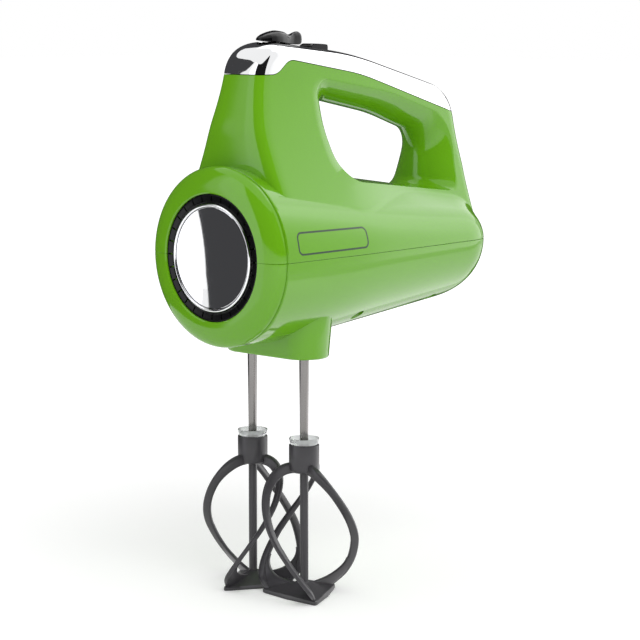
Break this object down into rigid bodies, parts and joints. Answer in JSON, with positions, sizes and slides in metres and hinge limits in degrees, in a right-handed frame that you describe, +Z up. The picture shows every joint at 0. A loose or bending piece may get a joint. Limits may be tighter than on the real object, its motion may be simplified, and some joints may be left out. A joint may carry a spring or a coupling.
{
  "type": "hand mixer",
  "caption": "Electric hand mixer with a looped handle on a barrel-shaped motor housing and two interleaving helical beaters driven by a worm gear.",
  "frame": {"origin": "on the floor under the beater tips, below the middle of the body in plan", "axes": "+Z up, -Y towards the nose with the round badge, +Y towards the heel, motor axis along Y; +X is to the right of someone who looks from the nose to the heel, so the drive and beater called right are on +X"},
  "size_m": [0.0977, 0.19, 0.3054],
  "materials": {
    "green": "gloss",
    "chrome": "mirror",
    "black": "gloss",
    "grey": "satin",
    "clear": "gloss",
    "steel": "satin",
    "lamination": "satin",
    "copper": "satin",
    "bronze": "satin",
    "nylon": "satin",
    "dark": "satin",
    "rubber": "matt"
  },
  "bodies": {
    "housing": {"upper_housing": "green", "lower_housing": "green", "handle_shell": "green", "handle_cap": "chrome", "vent_ring": "black", "badge_ring": "chrome", "badge_disc": "chrome", "turbo_spring": "steel", "switch_block": "dark", "cord_bush": "rubber", "heel_plate": "green", "housing_screws": "steel", "stator": "lamination", "field_coils": "copper", "motor_bracket": "dark", "front_bearing": "bronze", "middle_bearing": "bronze", "rear_bearing": "bronze", "brushes": "dark", "brush_holders": "bronze", "gear_plate": "steel", "spindle_bushes": "bronze", "eject_spring": "steel"},
    "rotor": {"motor_shaft": "steel", "worm": "steel", "armature": "lamination", "windings": "copper", "commutator": "copper", "cooling_fan": "dark"},
    "left_drive": {"left_spindle": "steel", "left_worm_wheel": "nylon"},
    "right_drive": {"right_spindle": "steel", "right_worm_wheel": "nylon"},
    "left_beater": {"left_beater_shaft": "steel", "left_whisk": "grey", "left_collar": "clear"},
    "right_beater": {"right_beater_shaft": "steel", "right_whisk": "grey", "right_collar": "clear"},
    "speed_selector": {"speed_selector": "black"},
    "turbo_button": {"turbo_button": "black"},
    "eject_plunger": {"eject_plunger": "dark"}
  },
  "joints": [
    {"name": "rotor_spin", "type": "hinge", "parent": "housing", "child": "rotor", "pos_m": [0, 0, 0.1875], "axis": [0, 1, 0], "continuous": true},
    {"name": "left_drive_spin", "type": "hinge", "parent": "housing", "child": "left_drive", "pos_m": [-0.0195, -0.044, 0], "axis": [0, 0, 1], "continuous": true},
    {"name": "right_drive_spin", "type": "hinge", "parent": "housing", "child": "right_drive", "pos_m": [0.0195, -0.044, 0], "axis": [0, 0, 1], "continuous": true},
    {"name": "eject_press", "type": "slide", "parent": "housing", "child": "eject_plunger", "axis": [0, 0, -1], "range_m": [0, 0.007], "stiffness_N_per_m": 900, "springref_m": -0.004, "deforming": ["eject_spring"]},
    {"name": "left_beater_slide", "type": "slide", "parent": "left_drive", "child": "left_beater", "axis": [0, 0, -1], "range_m": [0, 0.007]},
    {"name": "right_beater_slide", "type": "slide", "parent": "right_drive", "child": "right_beater", "axis": [0, 0, -1], "range_m": [0, 0.007]},
    {"name": "speed_selector_slide", "type": "slide", "parent": "housing", "child": "speed_selector", "axis": [0, -0.9962, 0.0872], "range_m": [0, 0.008]},
    {"name": "turbo_press", "type": "slide", "parent": "housing", "child": "turbo_button", "axis": [0, 0, -1], "range_m": [0, 0.002], "stiffness_N_per_m": 600, "springref_m": -0.002, "deforming": ["turbo_spring"]}
  ],
  "couplings": [
    {"joint": "left_drive_spin", "follows": "rotor_spin", "ratio": -0.033333},
    {"joint": "right_drive_spin", "follows": "rotor_spin", "ratio": 0.033333},
    {"joint": "left_beater_slide", "follows": "eject_press", "ratio": 1},
    {"joint": "right_beater_slide", "follows": "eject_press", "ratio": 1}
  ]
}
